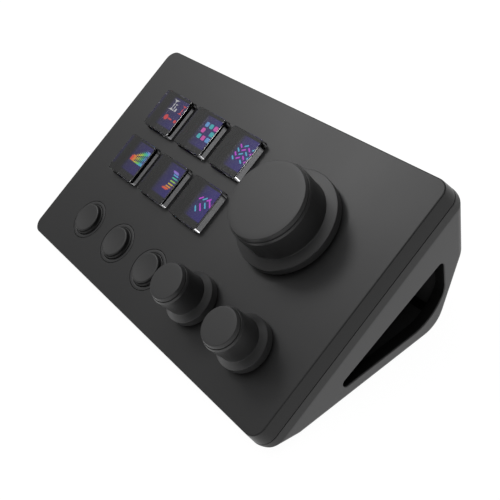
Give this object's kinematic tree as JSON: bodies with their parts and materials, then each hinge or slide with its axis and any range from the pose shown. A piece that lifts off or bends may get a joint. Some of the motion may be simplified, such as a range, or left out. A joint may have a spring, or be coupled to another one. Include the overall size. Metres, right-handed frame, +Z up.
{
  "type": "macro keypad with knobs",
  "caption": "Wedge-shaped desk keypad with clear display keys, round push buttons and push-and-turn knobs on a sloping deck over an open side-to-side window.",
  "frame": {"origin": "bottom centre of the bounding box, on the desk under the rubber feet", "axes": "+X along the width, to the right of someone who sits in front of it; +Y to the rear, towards the high edge; +Z up"},
  "size_m": [0.135, 0.0762, 0.0497],
  "materials": {
    "cover": "fine-grained matt charcoal",
    "housing": "fine-grained matt black",
    "tray": "matt black",
    "board": "green solder mask",
    "socket_metal": "plated shell",
    "frame": "matt black",
    "screen": "dark screen with coloured motifs",
    "dome_metal": "sprung steel",
    "button_ring": "satin dark grey",
    "switch": "black",
    "screw_metal": "zinc plated",
    "foot_rubber": "black rubber",
    "encoder_metal": "die cast",
    "key_cap": "clear polished block",
    "collar": "black",
    "button": "satin charcoal",
    "knob": "satin black",
    "knob_cap": "satin charcoal",
    "shaft_metal": "turned",
    "rotor": "natural"
  },
  "bodies": {
    "body": {"top_cover": "cover", "base_housing": "housing", "inner_tray": "tray", "main_board": "board", "usb_board": "board", "usb_socket": "socket_metal", "key_frame": "frame", "displays": "screen", "key_domes": "dome_metal", "button_rings": "button_ring", "button_switches": "switch", "push_domes": "dome_metal", "tray_screws": "screw_metal", "base_screws": "screw_metal", "foot_front_left": "foot_rubber", "foot_front_right": "foot_rubber", "foot_rear_left": "foot_rubber", "foot_rear_right": "foot_rubber", "large_encoder": "encoder_metal", "left_encoder": "encoder_metal", "right_encoder": "encoder_metal"},
    "key_1": {"key_cap_1": "key_cap", "key_collar_1": "collar"},
    "key_2": {"key_cap_2": "key_cap", "key_collar_2": "collar"},
    "key_3": {"key_cap_3": "key_cap", "key_collar_3": "collar"},
    "key_4": {"key_cap_4": "key_cap", "key_collar_4": "collar"},
    "key_5": {"key_cap_5": "key_cap", "key_collar_5": "collar"},
    "key_6": {"key_cap_6": "key_cap", "key_collar_6": "collar"},
    "button_1": {"button_cap_1": "button", "button_plunger_1": "switch"},
    "button_2": {"button_cap_2": "button", "button_plunger_2": "switch"},
    "button_3": {"button_cap_3": "button", "button_plunger_3": "switch"},
    "large_contact": {"large_rotor": "rotor"},
    "large_dial": {"large_knob": "knob", "large_knob_cap": "knob_cap", "large_shaft": "shaft_metal"},
    "left_contact": {"left_rotor": "rotor"},
    "left_dial": {"left_knob": "knob", "left_knob_cap": "knob_cap", "left_shaft": "shaft_metal"},
    "right_contact": {"right_rotor": "rotor"},
    "right_dial": {"right_knob": "knob", "right_knob_cap": "knob_cap", "right_shaft": "shaft_metal"}
  },
  "joints": [
    {"name": "key_1_press", "type": "slide", "parent": "body", "child": "key_1", "axis": [0, 0.454, -0.891], "range_m": [0, 0.0008], "stiffness_N_per_m": 700, "springref_m": -0.0004},
    {"name": "key_2_press", "type": "slide", "parent": "body", "child": "key_2", "axis": [0, 0.454, -0.891], "range_m": [0, 0.0008], "stiffness_N_per_m": 700, "springref_m": -0.0004},
    {"name": "key_3_press", "type": "slide", "parent": "body", "child": "key_3", "axis": [0, 0.454, -0.891], "range_m": [0, 0.0008], "stiffness_N_per_m": 700, "springref_m": -0.0004},
    {"name": "key_4_press", "type": "slide", "parent": "body", "child": "key_4", "axis": [0, 0.454, -0.891], "range_m": [0, 0.0008], "stiffness_N_per_m": 700, "springref_m": -0.0004},
    {"name": "key_5_press", "type": "slide", "parent": "body", "child": "key_5", "axis": [0, 0.454, -0.891], "range_m": [0, 0.0008], "stiffness_N_per_m": 700, "springref_m": -0.0004},
    {"name": "key_6_press", "type": "slide", "parent": "body", "child": "key_6", "axis": [0, 0.454, -0.891], "range_m": [0, 0.0008], "stiffness_N_per_m": 700, "springref_m": -0.0004},
    {"name": "button_1_press", "type": "slide", "parent": "body", "child": "button_1", "axis": [0, 0.454, -0.891], "range_m": [0, 0.0008], "stiffness_N_per_m": 700, "springref_m": -0.0004},
    {"name": "button_2_press", "type": "slide", "parent": "body", "child": "button_2", "axis": [0, 0.454, -0.891], "range_m": [0, 0.0008], "stiffness_N_per_m": 700, "springref_m": -0.0004},
    {"name": "button_3_press", "type": "slide", "parent": "body", "child": "button_3", "axis": [0, 0.454, -0.891], "range_m": [0, 0.0008], "stiffness_N_per_m": 700, "springref_m": -0.0004},
    {"name": "large_turn", "type": "hinge", "parent": "body", "child": "large_contact", "pos_m": [0.03155, 0.00732, 0.0314], "axis": [0, -0.454, 0.891], "continuous": true},
    {"name": "large_push", "type": "slide", "parent": "large_contact", "child": "large_dial", "axis": [0, 0.454, -0.891], "range_m": [0, 0.0005], "stiffness_N_per_m": 2000, "springref_m": -0.0005},
    {"name": "left_turn", "type": "hinge", "parent": "body", "child": "left_contact", "pos_m": [0.0206, -0.0228, 0.01605], "axis": [0, -0.454, 0.891], "continuous": true},
    {"name": "left_push", "type": "slide", "parent": "left_contact", "child": "left_dial", "axis": [0, 0.454, -0.891], "range_m": [0, 0.0005], "stiffness_N_per_m": 2000, "springref_m": -0.0005},
    {"name": "right_turn", "type": "hinge", "parent": "body", "child": "right_contact", "pos_m": [0.0458, -0.0228, 0.01605], "axis": [0, -0.454, 0.891], "continuous": true},
    {"name": "right_push", "type": "slide", "parent": "right_contact", "child": "right_dial", "axis": [0, 0.454, -0.891], "range_m": [0, 0.0005], "stiffness_N_per_m": 2000, "springref_m": -0.0005}
  ]
}
